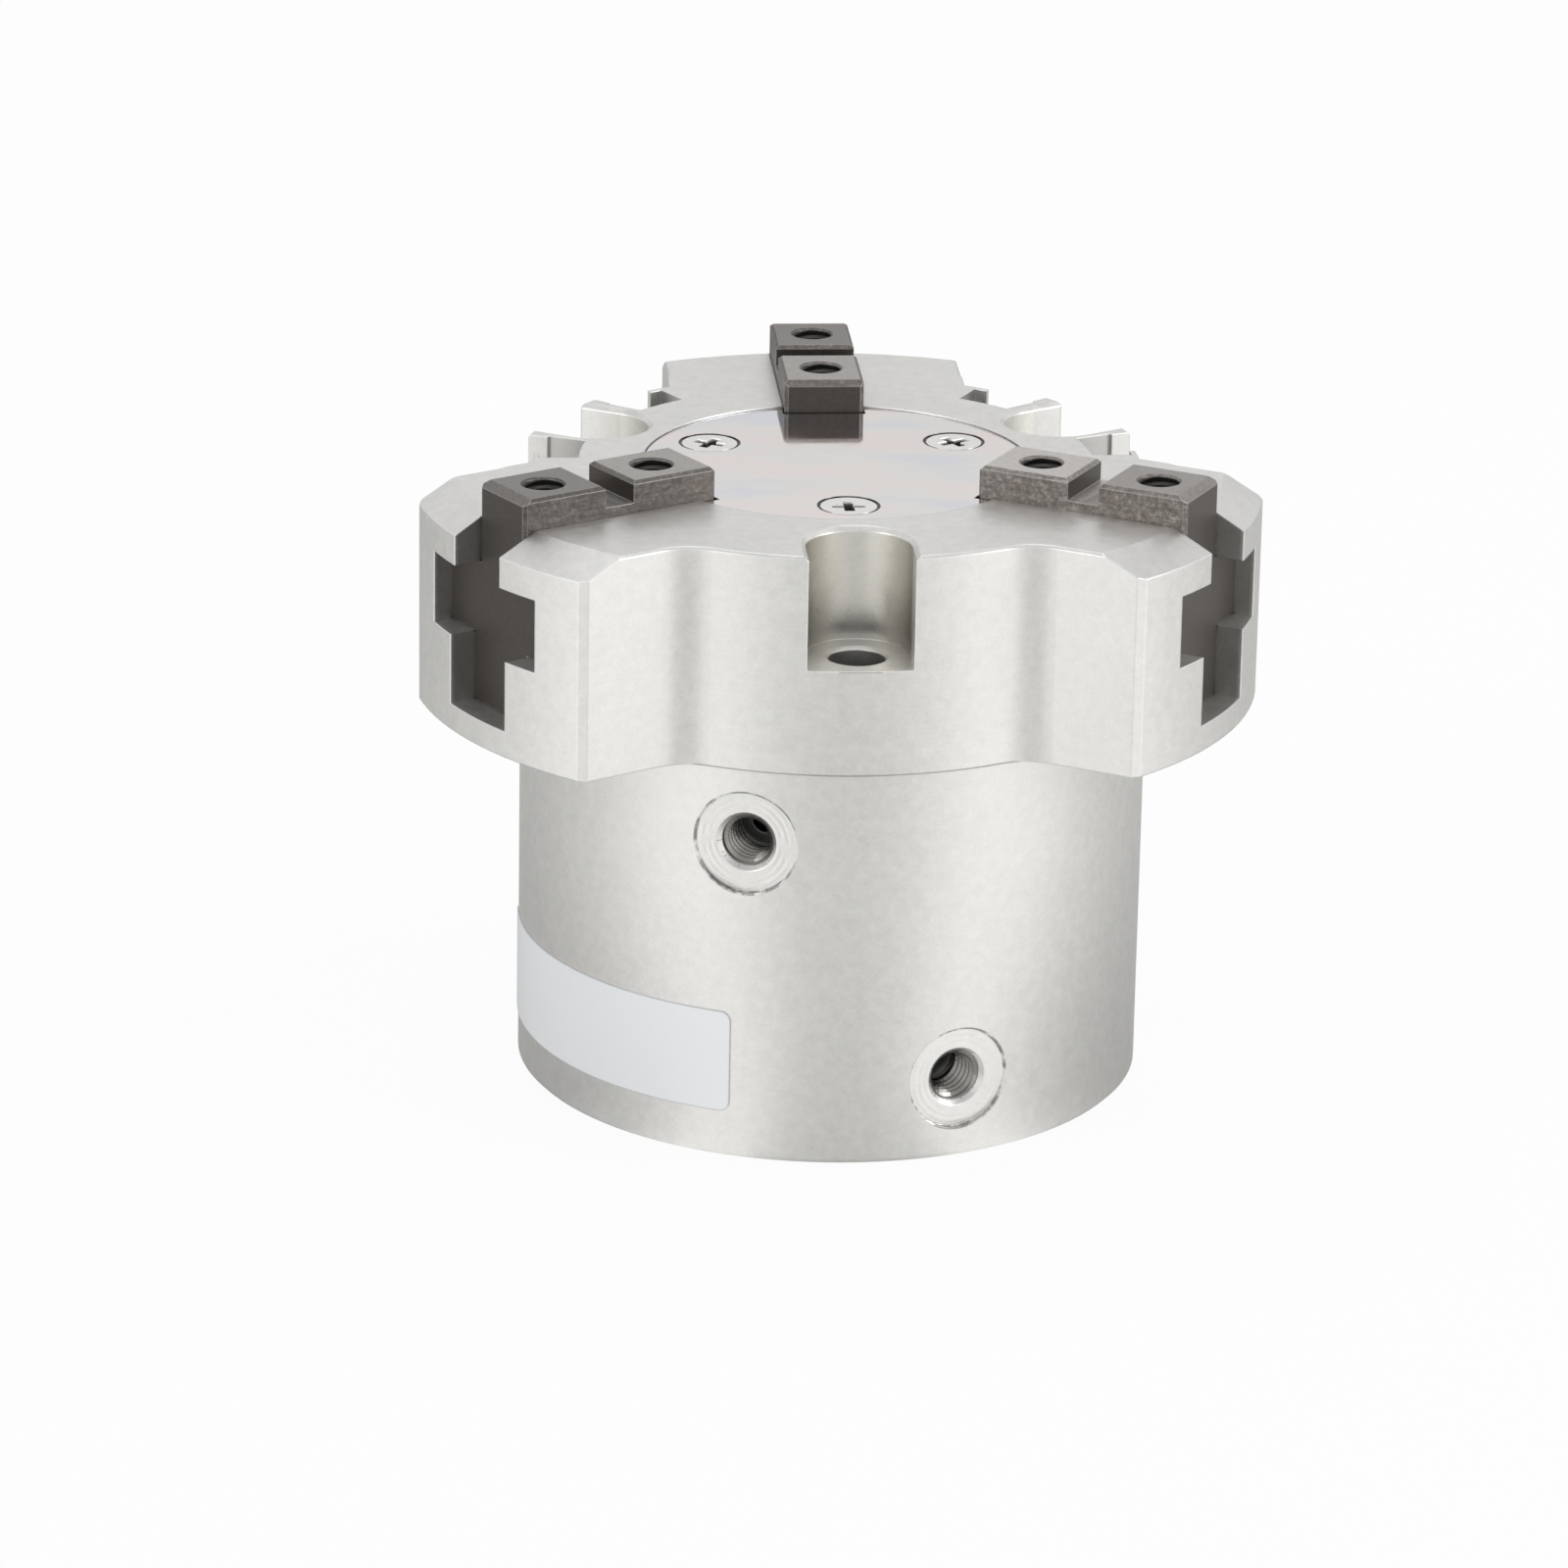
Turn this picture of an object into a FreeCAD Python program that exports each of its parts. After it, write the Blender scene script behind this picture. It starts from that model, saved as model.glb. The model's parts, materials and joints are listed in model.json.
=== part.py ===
import FreeCAD, Part
import math
import os

import Sketcher

# Three-jaw pneumatic parallel gripper, closed. +Z runs along the gripper axis, away from the mounting face.
# The origin is the centre of the mounting face. The jaws point at 90, 210 and 330 degrees about Z.

os.makedirs("parts", exist_ok=True)
doc = FreeCAD.newDocument("ThreeJawGripper")
sheet = doc.addObject("Spreadsheet::Sheet", "Dimensions")

# Millimetres and degrees
DIMENSIONS = [
    # housing
    ("shell_diameter", 62.0),
    ("shell_height", 40.0),
    ("base_chamfer", 0.5),
    ("head_diameter", 83.6),
    ("head_height", 21.8),
    ("head_chamfer_width", 4.0),
    ("head_chamfer_height", 2.0),
    ("arm_width", 30.0),
    ("arm_edge", 0.45),
    ("lobe_diameter", 62.7),
    ("valley_radius", 5.0),
    ("rim_chamfer", 0.25),
    ("edge_angle", 45.0),
    # sensor grooves, on both sides of the two rear lobes; walls are given from the groove's own line
    ("groove_floor_radius", 25.4),
    ("groove_lip_radius", 29.3),
    ("groove_lip_outside", 29.8),
    ("groove_near_wall", 1.5),
    ("groove_floor_far", 7.2),
    ("groove_far_wall", 8.8),
    ("groove_mouth_near", 2.85),
    ("groove_mouth_far", 8.5),
    ("groove_flare_angle", 21.0),
    # mounting bolts, through the three lobes
    ("bolt_circle", 53.0),
    ("bolt_hole", 5.5),
    ("bolt_hole_chamfer", 0.3),
    ("bolt_pocket_width", 10.2),
    ("bolt_pocket_depth", 11.3),
    ("bolt_pocket_chamfer", 0.45),
    # air ports
    ("port_spacing_angle", 40.0),
    ("port_thread", 5.0),
    ("port_thread_depth", 6.5),
    ("port_chamfer", 0.5),
    ("port_face_diameter", 10.2),
    ("port_face_depth", 0.6),
    ("port_passage", 2.5),
    ("lower_port_height", 8.1),
    ("upper_port_drop", 7.5),
    # jaw guides and jaws
    ("neck_width", 7.96),
    ("wing_width", 18.04),
    ("stem_width", 9.74),
    ("slide_clearance", 0.04),
    ("wing_depth", 5.0),
    ("wing_height", 7.2),
    ("stem_height", 7.0),
    ("jaw_rise", 3.13),
    ("jaw_inner_end", 16.93),
    ("jaw_length", 21.85),
    ("jaw_thread", 4.0),
    ("jaw_thread_depth", 8.0),
    ("jaw_thread_chamfer", 0.22),
    ("inner_thread_offset", 4.9),
    ("jaw_thread_spacing", 12.35),
    ("key_width", 3.2),
    ("key_depth", 2.15),
    ("jaw_chamfer", 0.35),
    ("jaw_front_chamfer", 0.6),
    ("jaw_end_chamfer", 1.0),
    ("jaw_end_drop", 0.65),
    ("guide_relief", 0.35),
    ("jaw_stroke", 8.0),
    # wedge cam
    ("wedge_angle", 40.0),
    ("wedge_gap", 0.05),
    ("cam_foot_radius", 19.5),
    ("cam_hub_diameter", 16.0),
    ("cam_arm_width", 7.7),
    ("cam_relief_depth", 2.9),
    ("cam_gap", 0.3),
    ("hook_neck_width", 2.6),
    ("hook_head_width", 4.8),
    ("hook_neck_reach", 1.2),
    ("hook_head_reach", 1.8),
    ("hook_clearance", 0.1),
    ("rod_diameter", 12.0),
    ("rod_spigot_length", 3.0),
    ("rod_clearance", 0.1),
    # cylinder
    ("bore_diameter", 40.0),
    ("partition_thickness", 5.3),
    ("cap_seat_diameter", 43.0),
    ("cap_thickness", 4.0),
    ("cap_clearance", 0.05),
    ("cap_recess_diameter", 28.0),
    ("cap_recess_depth", 0.8),
    ("cap_seal_section", 1.6),
    ("ring_inset", 1.0),
    ("ring_thickness", 1.3),
    ("ring_groove_depth", 1.0),
    ("ring_width", 2.6),
    ("ring_mouth_angle", 36.0),
    ("ring_lug_width", 5.0),
    ("ring_lug_length", 3.2),
    ("ring_lug_hole", 1.8),
    ("ring_gap", 0.05),
    # piston
    ("piston_clearance", 0.1),
    ("piston_shoulder", 30.0),
    ("piston_land_height", 9.07),
    ("seal_width", 2.8),
    ("seal_height", 3.0),
    ("seal_gap", 0.04),
    ("magnet_width", 3.6),
    ("magnet_height", 2.5),
    ("groove_inset", 1.2),
    ("bumper_inner_diameter", 19.0),
    ("bumper_outer_diameter", 26.0),
    ("bumper_height", 2.4),
    ("bumper_stand", 0.5),
    ("bumper_gap", 0.02),
    ("piston_bolt_thread", 6.0),
    ("piston_bolt_length", 16.0),
    ("bolt_head_diameter", 10.0),
    ("bolt_head_height", 6.0),
    ("bolt_socket_width", 5.0),
    ("bolt_socket_depth", 3.0),
    ("bolt_head_inset", 1.0),
    ("bolt_clearance", 0.15),
    ("rod_seal_width", 2.4),
    ("rod_seal_height", 2.2),
    ("rod_seal_inset", 0.9),
    ("rod_bush_width", 1.5),
    ("rod_bush_height", 1.6),
    # cover and its screws
    ("cover_seat_diameter", 38.2),
    ("cover_thickness", 1.5),
    ("cover_recess", 0.2),
    ("cover_clearance", 0.1),
    ("cover_notch_radius", 16.6),
    ("cover_screw_circle", 28.0),
    ("cover_screw_thread", 3.0),
    ("cover_screw_head", 5.5),
    ("cover_screw_land", 0.22),
    ("cover_screw_tip", 0.15),
    ("cover_screw_length", 7.0),
    ("cover_screw_recess_width", 3.2),
    ("cover_screw_recess_bar", 1.0),
    ("cover_screw_recess_depth", 1.3),
    ("cover_screw_recess_taper", 10.0),
    ("cover_screw_gap", 0.3),
    ("cover_tap_allowance", 0.5),
    ("screw_clearance", 0.05),
    # name label
    ("label_bottom", 4.75),
    ("label_height", 10.3),
    ("label_thickness", 0.12),
    ("label_gap", 0.02),
    ("label_start_angle", 112.1),
    ("label_span_angle", 71.5),
    ("label_corner", 1.0),
    # how far a cut runs past the face that it opens
    ("cut_spare", 1.0),
]

FULL_TURN = 360
THIRD = FULL_TURN / 3


class Size:
    """A size that carries its number and the sheet expression it comes from."""

    def __init__(self, value, text):
        self.value = value
        self.text = text

    @staticmethod
    def of(other):
        return other if isinstance(other, Size) else Size(float(other), repr(float(other)))

    def joined(self, sign, other, value):
        return Size(value, "(%s %s %s)" % (self.text, sign, other.text))

    def __add__(self, other):
        other = Size.of(other)
        return self.joined("+", other, self.value + other.value)

    def __sub__(self, other):
        other = Size.of(other)
        return self.joined("-", other, self.value - other.value)

    def __mul__(self, other):
        other = Size.of(other)
        return self.joined("*", other, self.value * other.value)

    def __truediv__(self, other):
        other = Size.of(other)
        return self.joined("/", other, self.value / other.value)

    def __neg__(self):
        return Size(-self.value, "(0 - %s)" % self.text)

    def sqrt(self):
        return Size(math.sqrt(self.value), "sqrt(%s)" % self.text)

    def tan(self):
        return Size(math.tan(math.radians(self.value)), "tan(%s * 1deg)" % self.text)


ZERO = Size.of(0)
size = {}
for row, (alias, number) in enumerate(DIMENSIONS, start=1):
    sheet.set("A%d" % row, alias.replace("_", " "))
    sheet.set("B%d" % row, str(number))
    sheet.setAlias("B%d" % row, alias)
    size[alias] = Size(number, "Dimensions." + alias)
doc.recompute()


def half(alias):
    return size[alias] / 2


def bind(thing, prop, value):
    thing.setExpression(prop, Size.of(value).text)


def new_body(name):
    body = doc.addObject("PartDesign::Body", name)
    body.Label = name
    return body


def origin_feature(body, role):
    for feature in body.Origin.OriginFeatures:
        if feature.Role == role:
            return feature
    raise ValueError(role)


def new_sketch(body, name, plane, shift=(0, 0, 0), turn=None):
    """Sketch on an origin plane of its body, shifted in its own axes and turned about one of them."""
    sketch = body.newObject("Sketcher::SketchObject", name)
    sketch.AttachmentSupport = [(origin_feature(body, plane), "")]
    sketch.MapMode = "FlatFace"
    shift = [Size.of(value) for value in shift]
    rotation = FreeCAD.Rotation()
    if turn:
        axis, angle = turn
        rotation = FreeCAD.Rotation(axis, Size.of(angle).value)
    place = FreeCAD.Vector(*[value.value for value in shift])
    sketch.AttachmentOffset = FreeCAD.Placement(place, rotation)
    for axis_name, value in zip("xyz", shift):
        if value.text != ZERO.text:
            bind(sketch, ".AttachmentOffset.Base." + axis_name, value)
    if turn and isinstance(turn[1], Size):
        bind(sketch, ".AttachmentOffset.Rotation.Angle", turn[1])
    return sketch


def pin(sketch, geometry, point, x, y):
    """Hold one point of the sketch at x, y from the origin."""
    for kind, value in (("DistanceX", x), ("DistanceY", y)):
        value = Size.of(value)
        if value.text == ZERO.text:
            axis = -2 if kind == "DistanceX" else -1
            sketch.addConstraint(Sketcher.Constraint("PointOnObject", geometry, point, axis))
        else:
            index = sketch.addConstraint(Sketcher.Constraint(kind, -1, 1, geometry, point, value.value))
            bind(sketch, "Constraints[%d]" % index, value)


def draw_outline(sketch, points, arcs=None):
    """Closed outline through the points; arcs maps a side to its centre and whether it runs clockwise."""
    arcs = arcs or {}
    points = [(Size.of(x), Size.of(y)) for x, y in points]
    count = len(points)
    sides = []
    for index in range(count):
        start = FreeCAD.Vector(points[index][0].value, points[index][1].value, 0)
        end_point = points[(index + 1) % count]
        end = FreeCAD.Vector(end_point[0].value, end_point[1].value, 0)
        if index in arcs:
            centre, backwards = arcs[index]
            middle = FreeCAD.Vector(centre[0].value, centre[1].value, 0)
            first, last = (end, start) if backwards else (start, end)
            angles = [math.atan2(corner.y - middle.y, corner.x - middle.x) for corner in (first, last)]
            circle = Part.Circle(middle, FreeCAD.Vector(0, 0, 1), (end - middle).Length)
            side = sketch.addGeometry(Part.ArcOfCircle(circle, angles[0], angles[1]), False)
            sides.append((side, 2, 1) if backwards else (side, 1, 2))
            level = sketch.addConstraint(Sketcher.Constraint("DistanceY", -1, 1, side, 3, centre[1].value))
            bind(sketch, "Constraints[%d]" % level, centre[1])
        else:
            side = sketch.addGeometry(Part.LineSegment(start, end), False)
            sides.append((side, 1, 2))
    for index, (side, first, last) in enumerate(sides):
        following, next_first, _ = sides[(index + 1) % count]
        sketch.addConstraint(Sketcher.Constraint("Coincident", side, last, following, next_first))
        pin(sketch, side, first, *points[index])


def draw_circle(sketch, x, y, radius):
    place = FreeCAD.Vector(Size.of(x).value, Size.of(y).value, 0)
    circle = sketch.addGeometry(Part.Circle(place, FreeCAD.Vector(0, 0, 1), radius.value), False)
    pin(sketch, circle, 3, x, y)
    index = sketch.addConstraint(Sketcher.Constraint("Radius", circle, radius.value))
    bind(sketch, "Constraints[%d]" % index, radius)


def box_points(x_low, x_high, y_low, y_high):
    return [(x_low, y_low), (x_high, y_low), (x_high, y_high), (x_low, y_high)]


def mirrored(points):
    """Outline symmetric about the sketch's vertical axis, from its right half listed bottom to top."""
    return points + [(-x, y) for x, y in reversed(points)]


def add_extrusion(body, kind, name, sketch, length, symmetric=False, reverse=False):
    feature = body.newObject("PartDesign::" + kind, name)
    feature.Profile = sketch
    feature.SideType = "Symmetric" if symmetric else "One side"
    feature.Reversed = reverse
    feature.Length = Size.of(length).value
    bind(feature, "Length", length)
    sketch.Visibility = False
    return feature


def add_turning(body, kind, name, sketch, axis="V_Axis", angle=None):
    feature = body.newObject("PartDesign::" + kind, name)
    feature.Profile = sketch
    feature.ReferenceAxis = (sketch, [axis])
    feature.Angle = FULL_TURN if angle is None else angle.value
    if angle is not None:
        bind(feature, "Angle", angle)
    sketch.Visibility = False
    return feature


def add_upward_chamfer(body, name, sketch, height):
    """Chamfer round a milled outline: a low pocket whose walls lean outward as it rises."""
    feature = add_extrusion(body, "Pocket", name, sketch, height, reverse=True)
    feature.TaperAngle = size["edge_angle"].value
    bind(feature, "TaperAngle", size["edge_angle"])
    return feature


def add_pattern(body, name, features, count=3, angle=FULL_TURN):
    pattern = body.newObject("PartDesign::PolarPattern", name)
    pattern.Originals = features
    pattern.Axis = (origin_feature(body, "Z_Axis"), [""])
    pattern.Angle = angle
    pattern.Occurrences = count
    body.Tip = pattern
    return pattern


def turned_body(name, points):
    """Body turned about Z from radius and height pairs."""
    body = new_body(name)
    sketch = new_sketch(body, name + "_outline", "XZ_Plane")
    draw_outline(sketch, points)
    add_turning(body, "Revolution", name + "_turning", sketch)
    return body


AXIAL = FreeCAD.Vector(0, 1, 0)
spare = size["cut_spare"]

# Heights
ring_groove_height = size["ring_thickness"] + size["ring_gap"] * 2
cap_bottom = size["ring_inset"] + ring_groove_height
cap_top = cap_bottom + size["cap_thickness"]
shell_top = size["shell_height"]
head_top = shell_top + size["head_height"]
wing_top = head_top - size["wing_depth"]
wing_bottom = wing_top - size["wing_height"]
guide_floor = wing_bottom - size["stem_height"]
cavity_floor = guide_floor - size["cam_relief_depth"]
partition_bottom = cavity_floor - size["partition_thickness"]
cover_top = head_top - size["cover_recess"]
cover_seat = cover_top - size["cover_thickness"]
jaw_top = head_top + size["jaw_rise"]

# Guide clearances, wedge line and stroke
gap = size["slide_clearance"]
slope = size["wedge_angle"].tan()
piston_stroke = size["jaw_stroke"] / slope
cam_bottom = cavity_floor + size["cam_gap"]
cam_top = cover_seat - size["cam_gap"] - piston_stroke
cavity_radius = half("cam_hub_diameter") + size["cam_gap"]
relief_reach = size["cam_foot_radius"] + size["cam_gap"]


def wedge_radius(height, offset=0):
    """Radius of the cam's sloping face at a height, plus an offset."""
    return size["cam_foot_radius"] - (height - cam_bottom) * slope + offset


# Housing: turned blank with the cylinder bore, the rod passage and the cam cavity
shell_radius = half("shell_diameter")
head_radius = half("head_diameter")
seat_radius = half("cap_seat_diameter")
rod_radius = half("rod_diameter")
rod_bore = rod_radius + size["rod_clearance"]
rod_seal_radius = rod_bore + size["rod_seal_width"]
rod_seal_bottom = partition_bottom + size["rod_seal_inset"]
rod_seal_top = rod_seal_bottom + size["rod_seal_height"]
rod_bush_radius = rod_bore + size["rod_bush_width"]
rod_bush_bottom = cavity_floor - size["rod_bush_height"]
ring_groove_radius = seat_radius + size["ring_groove_depth"]
base_edge = size["base_chamfer"]

housing = turned_body("housing", [
    (seat_radius, ZERO),
    (shell_radius - base_edge, ZERO),
    (shell_radius, base_edge),
    (shell_radius, shell_top),
    (head_radius, shell_top),
    (head_radius, head_top - size["head_chamfer_height"]),
    (head_radius - size["head_chamfer_width"], head_top),
    (half("cover_seat_diameter"), head_top),
    (half("cover_seat_diameter"), cover_seat),
    (cavity_radius, cover_seat),
    (cavity_radius, cavity_floor),
    (rod_bush_radius, cavity_floor),
    (rod_bush_radius, rod_bush_bottom),
    (rod_bore, rod_bush_bottom),
    (rod_bore, rod_seal_top),
    (rod_seal_radius, rod_seal_top),
    (rod_seal_radius, rod_seal_bottom),
    (rod_bore, rod_seal_bottom),
    (rod_bore, partition_bottom),
    (half("bore_diameter"), partition_bottom),
    (half("bore_diameter"), cap_top),
    (seat_radius, cap_top),
    (seat_radius, cap_bottom),
    (ring_groove_radius, cap_bottom),
    (ring_groove_radius, size["ring_inset"]),
    (seat_radius, size["ring_inset"]),
])

# The head is milled back between its arms, down to a round lobe with a hollow on each side
arm_half = half("arm_width")
arm_edge = size["arm_edge"]
lobe_radius = half("lobe_diameter")
valley = size["valley_radius"]
across = arm_half + valley
along = ((lobe_radius + valley) * (lobe_radius + valley) - across * across).sqrt()
corner_along = (head_radius * head_radius - arm_half * arm_half).sqrt()
mill_reach = size["head_diameter"]


def from_arm(across_arm, along_arm):
    """Point given across and along the neighbouring arm, on the left of the front lobe."""
    x = across_arm * 0.5 - along_arm * math.sqrt(0.75)
    y = -(across_arm * math.sqrt(0.75) + along_arm * 0.5)
    return x, y


left_centre = from_arm(across, along)
lobe_share = lobe_radius / (lobe_radius + valley)
left_half = [
    (left_centre[0] * lobe_share, left_centre[1] * lobe_share),
    from_arm(arm_half, along),
    from_arm(arm_half, corner_along - arm_edge),
    from_arm(arm_half - arm_edge * 2, corner_along + arm_edge),
    from_arm(arm_half - arm_edge * 2, mill_reach),
]
right_centre = (-left_centre[0], left_centre[1])
milling_points = left_half + [(-x, y) for x, y in reversed(left_half)]
milling_arcs = {
    0: (left_centre, False),
    8: (right_centre, False),
    9: ((ZERO, ZERO), True),
}
sketch = new_sketch(housing, "lobe_milling_outline", "XY_Plane", shift=(0, 0, shell_top))
draw_outline(sketch, milling_points, milling_arcs)
lobe_milling = add_extrusion(housing, "Pocket", "lobe_milling", sketch, size["head_height"] * 2, reverse=True)

# A bright chamfer runs along the milled rim
sketch = new_sketch(housing, "rim_outline", "XY_Plane", shift=(0, 0, head_top - size["rim_chamfer"]))
draw_outline(sketch, milling_points, milling_arcs)
rim = add_upward_chamfer(housing, "rim", sketch, size["rim_chamfer"])
add_pattern(housing, "lobe_millings", [lobe_milling, rim])

# Sensor grooves: T-shaped, along the whole body, one on each side of a rear lobe
groove_floor = size["groove_floor_radius"]
groove_lip = size["groove_lip_radius"]
lip_outside = size["groove_lip_outside"]
mouth_near = size["groove_mouth_near"]
mouth_far = size["groove_mouth_far"]

def groove_point(radius, offset):
    """Along and across the groove's own line, where a wall at an offset meets a circle about the axis."""
    return (radius * radius - offset * offset).sqrt(), offset

def beside_arm(along_arm):
    """Point on the side wall of the neighbouring arm, in the groove's own axes."""
    return along_arm * math.sqrt(0.75) + arm_half * 0.5, arm_half * math.sqrt(0.75) - along_arm * 0.5

def over_the_lobe(points):
    """The same outline, mirrored to the lobe's other side."""
    return [(x * 0.5 + y * math.sqrt(0.75), x * math.sqrt(0.75) - y * 0.5) for x, y in points]

mouth_corner = groove_point(groove_lip, mouth_far)
outside = mouth_corner[0] + valley
groove_points = [
    groove_point(groove_floor, size["groove_near_wall"]),
    groove_point(groove_lip, size["groove_near_wall"]),
    groove_point(groove_lip, mouth_near),
    (outside, mouth_near),
    (outside, mouth_far + valley * size["groove_flare_angle"].tan()),
    mouth_corner,
    groove_point(groove_lip, size["groove_far_wall"]),
    groove_point(groove_floor, size["groove_floor_far"]),
]
# In the head, the milling beside the arm runs on down to a thin lip
lip_points = [
    beside_arm((lip_outside * lip_outside - arm_half * arm_half).sqrt()),
    beside_arm(along),
    (outside, mouth_near),
    groove_point(lip_outside, mouth_near),
]
grooves = []
for name, flipped in (("right_groove", False), ("left_groove", True)):
    placed = over_the_lobe if flipped else list
    sketch = new_sketch(housing, name + "_outline", "XY_Plane", shift=(0, 0, -base_edge))
    draw_outline(sketch, placed(groove_points), {
        1: ((ZERO, ZERO), flipped),
        5: ((ZERO, ZERO), flipped),
        7: ((ZERO, ZERO), not flipped),
    })
    grooves.append(add_extrusion(housing, "Pocket", name, sketch, head_top + base_edge * 2, reverse=True))
    sketch = new_sketch(housing, name + "_lip_outline", "XY_Plane", shift=(0, 0, shell_top))
    draw_outline(sketch, placed(lip_points), {3: ((ZERO, ZERO), not flipped)})
    lip_cut = add_extrusion(housing, "Pocket", name + "_lip", sketch, size["head_height"] * 2, reverse=True)
    grooves.append(lip_cut)
add_pattern(housing, "sensor_grooves", grooves, count=2, angle=THIRD)

# Jaw guides: a cross section milled out along each arm
neck_slot = half("neck_width") + gap
wing_slot = half("wing_width") + gap
stem_slot = half("stem_width") + gap
sketch = new_sketch(housing, "guide_outline", "XZ_Plane")
draw_outline(sketch, mirrored([
    (stem_slot, guide_floor),
    (stem_slot, wing_bottom),
    (wing_slot, wing_bottom),
    (wing_slot, wing_top),
    (neck_slot, wing_top),
    (neck_slot, jaw_top),
]))
guide = add_extrusion(housing, "Pocket", "guide", sketch, size["head_diameter"])

# Relief below each guide for the cam's arms
sketch = new_sketch(housing, "cam_relief_outline", "XY_Plane", shift=(0, 0, cavity_floor))
cam_relief_half = half("cam_arm_width") + size["cam_gap"]
draw_outline(sketch, box_points(-cam_relief_half, cam_relief_half, ZERO, relief_reach))
cam_relief_depth = size["cam_relief_depth"]
cam_relief = add_extrusion(housing, "Pocket", "cam_relief", sketch, cam_relief_depth * 2, reverse=True)
add_pattern(housing, "guides", [guide, cam_relief])

# Mounting bolts: a clearance hole under a pocket that is open through the lobe's face
bolt_radius = half("bolt_circle")
pocket_half = half("bolt_pocket_width")
pocket_floor = head_top - size["bolt_pocket_depth"]
pocket_points = [
    (-pocket_half, -bolt_radius),
    (-pocket_half, -head_radius),
    (pocket_half, -head_radius),
    (pocket_half, -bolt_radius),
]
pocket_arcs = {3: ((ZERO, -bolt_radius), False)}
sketch = new_sketch(housing, "bolt_pocket_outline", "XY_Plane", shift=(0, 0, pocket_floor))
draw_outline(sketch, pocket_points, pocket_arcs)
bolt_pocket = add_extrusion(housing, "Pocket", "bolt_pocket", sketch, size["head_height"] * 2, reverse=True)
sketch = new_sketch(
    housing, "pocket_rim_outline", "XY_Plane", shift=(0, 0, head_top - size["bolt_pocket_chamfer"]))
draw_outline(sketch, pocket_points, pocket_arcs)
pocket_rim = add_upward_chamfer(housing, "pocket_rim", sketch, size["bolt_pocket_chamfer"])
sketch = new_sketch(housing, "bolt_hole_outline", "YZ_Plane", shift=(-bolt_radius, 0, 0))
draw_outline(sketch, [
    (ZERO, -base_edge),
    (half("bolt_hole"), -base_edge),
    (half("bolt_hole"), pocket_floor - size["bolt_hole_chamfer"]),
    (half("bolt_hole") + size["bolt_hole_chamfer"], pocket_floor),
    (ZERO, pocket_floor),
])
bolt_through = add_turning(housing, "Groove", "bolt_through", sketch)

# Tapped holes for the cover screws, in the ribs between the guides
screw_circle_radius = half("cover_screw_circle")
screw_tap = half("cover_screw_thread") + size["screw_clearance"]
tap_bottom = cover_top - size["cover_screw_length"] - size["cover_tap_allowance"]
sketch = new_sketch(housing, "cover_tap_outline", "XY_Plane", shift=(0, 0, tap_bottom))
draw_circle(sketch, ZERO, -screw_circle_radius, screw_tap)
cover_tap = add_extrusion(housing, "Pocket", "cover_tap", sketch, size["head_height"], reverse=True)
add_pattern(housing, "bolt_pockets", [bolt_pocket, pocket_rim, bolt_through, cover_tap])

# Air ports: spot face, tapped hole and a passage into the cylinder
port_turn = size["port_spacing_angle"] / 2
port_face = shell_radius - size["port_face_depth"]
port_bottom = port_face - size["port_thread_depth"]
port_half = half("port_thread")
for name, height, azimuth in (
    ("upper_port", shell_top - size["upper_port_drop"], -(port_turn + 90)),
    ("lower_port", size["lower_port_height"], port_turn - 90),
):
    sketch = new_sketch(housing, name + "_outline", "XZ_Plane", (0, height, 0), (AXIAL, azimuth))
    draw_outline(sketch, [
        (half("bore_diameter") - size["port_face_depth"], ZERO),
        (head_radius, ZERO),
        (head_radius, half("port_face_diameter")),
        (port_face, half("port_face_diameter")),
        (port_face, port_half + size["port_chamfer"]),
        (port_face - size["port_chamfer"], port_half),
        (port_bottom, port_half),
        (port_bottom, half("port_passage")),
        (half("bore_diameter") - size["port_face_depth"], half("port_passage")),
    ])
    add_turning(housing, "Groove", name, sketch, "H_Axis")

# Wedge cam: hub, three arms with a sloping face, and the piston rod below
piston_bottom = cap_top + size["bumper_stand"]
piston_top = partition_bottom - size["bumper_stand"] - piston_stroke
rod_end = piston_top - size["rod_spigot_length"]
bolt_seat = piston_bottom + size["bolt_head_inset"] + size["bolt_head_height"]
bolt_end = bolt_seat + size["piston_bolt_length"]
bolt_shank = half("piston_bolt_thread")
hook_bottom = guide_floor + size["cam_gap"]
hook_top = wing_top - size["cam_gap"]
hook_length = size["hook_neck_reach"] + size["hook_head_reach"]

wedge_cam = turned_body("wedge_cam", [
    (bolt_shank + size["screw_clearance"], rod_end),
    (rod_radius, rod_end),
    (rod_radius, cam_bottom),
    (half("cam_hub_diameter"), cam_bottom),
    (half("cam_hub_diameter"), cam_top),
    (ZERO, cam_top),
    (ZERO, bolt_end + size["bolt_head_inset"]),
    (bolt_shank + size["screw_clearance"], bolt_end + size["bolt_head_inset"]),
])
sketch = new_sketch(wedge_cam, "cam_arm_outline", "YZ_Plane")
draw_outline(sketch, [
    (ZERO, cam_bottom),
    (wedge_radius(cam_bottom), cam_bottom),
    (wedge_radius(cam_top), cam_top),
    (ZERO, cam_top),
])
cam_arm = add_extrusion(wedge_cam, "Pad", "cam_arm", sketch, size["cam_arm_width"], symmetric=True)
add_pattern(wedge_cam, "cam_arms", [cam_arm])


def draw_slanted(sketch, bottom, top, inner, outer):
    """Band that runs beside the wedge line between two heights, from an inner to an outer offset."""
    draw_outline(sketch, [
        (wedge_radius(bottom, inner), bottom),
        (wedge_radius(bottom, outer), bottom),
        (wedge_radius(top, outer), top),
        (wedge_radius(top, inner), top),
    ])


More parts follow.
